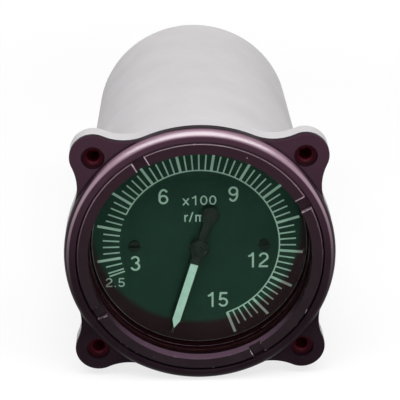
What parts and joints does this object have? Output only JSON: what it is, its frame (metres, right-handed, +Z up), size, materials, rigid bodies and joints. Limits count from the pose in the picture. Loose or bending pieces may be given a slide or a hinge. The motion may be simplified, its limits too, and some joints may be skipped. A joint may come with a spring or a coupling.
{
  "type": "panel tachometer indicator",
  "caption": "Round panel tachometer indicator with a lobed bolt flange, slotted glass ring, scale dial with pointer, and a deep can with drag-disc movement, drive motor and rear connector.",
  "frame": {"origin": "centre of the panel bolt square, in the plane of the grey flange's rear face", "axes": "+X to the right of the dial as it is read, +Y from the dial to the connector along the pointer's axis, +Z up"},
  "size_m": [0.086, 0.1554, 0.086],
  "materials": {
    "case_grey": "smooth light grey enamel on an aluminium casting",
    "frame_black": "semi-gloss black enamel on an aluminium casting",
    "dial_black": "matt black-green dial paint",
    "pointer_black": "matt black paint",
    "lume": "mint luminous compound",
    "glass": "flat polished glass",
    "rubber": "black rubber",
    "steel": "turned and plated steel",
    "oxide_steel": "black oxide on turned steel",
    "brass": "turned brass",
    "bronze_spring": "rolled bronze strip",
    "copper": "varnished copper wire",
    "alloy": "machined aluminium alloy",
    "magnet": "cast magnet alloy and stacked laminations",
    "jewel": "polished synthetic ruby",
    "phenolic": "moulded phenolic",
    "wire": "lacquered wire sleeve"
  },
  "bodies": {
    "case": {"housing": "case_grey", "front_frame": "frame_black", "retaining_ring": "frame_black", "dial": "dial_black", "dial_screws": "pointer_black", "glass": "glass", "flange_gasket": "rubber", "glass_gasket": "rubber", "connector_gasket": "rubber", "frame_screws": "steel", "plate_screws": "steel", "magnet_screws": "steel", "post_screws": "steel", "rear_screws": "steel", "connector_screws": "steel", "stop_pin": "steel", "bearing_outer_rings": "steel", "bearing_balls": "steel", "tie_rods": "steel", "tie_nuts": "steel", "anchor_nuts": "oxide_steel", "dial_posts": "brass", "front_plate": "brass", "bearing_plate": "brass", "plate_pillars": "brass", "hairspring_stud": "brass", "connector_pins": "brass", "hairspring": "bronze_spring", "stator_windings": "copper", "motor_front_shield": "alloy", "motor_rear_shield": "alloy", "motor_tube": "alloy", "chassis_sleeves": "alloy", "rear_posts": "alloy", "connector_shell": "alloy", "damping_magnets": "magnet", "stator_core": "magnet", "front_jewel": "jewel", "rear_jewel": "jewel", "connector_insulator": "phenolic", "lead_wires": "wire"},
    "pointer": {"pointer": "pointer_black", "pointer_lume": "lume", "pointer_spindle": "steel", "hairspring_collet": "brass", "stop_arm": "steel", "damping_disc": "alloy", "sensing_disc": "alloy"},
    "rotor": {"motor_shaft": "steel", "rotor_magnets": "magnet", "hysteresis_discs": "steel", "rotor_sleeves": "brass", "bearing_inner_rings": "steel", "front_magnet_plate": "steel", "rear_magnet_plate": "steel", "drive_magnets": "magnet", "magnet_spacers": "brass"}
  },
  "joints": [
    {"name": "pointer_turn", "type": "hinge", "parent": "case", "child": "pointer", "pos_m": [0, 0, 0], "axis": [0, 1, 0], "range_deg": [0, 326], "stiffness_Nm_per_rad": 0.00002, "springref_deg": -20.05, "deforming": ["hairspring"]},
    {"name": "rotor_spin", "type": "hinge", "parent": "case", "child": "rotor", "pos_m": [0, 0, 0], "axis": [0, 1, 0], "continuous": true}
  ]
}
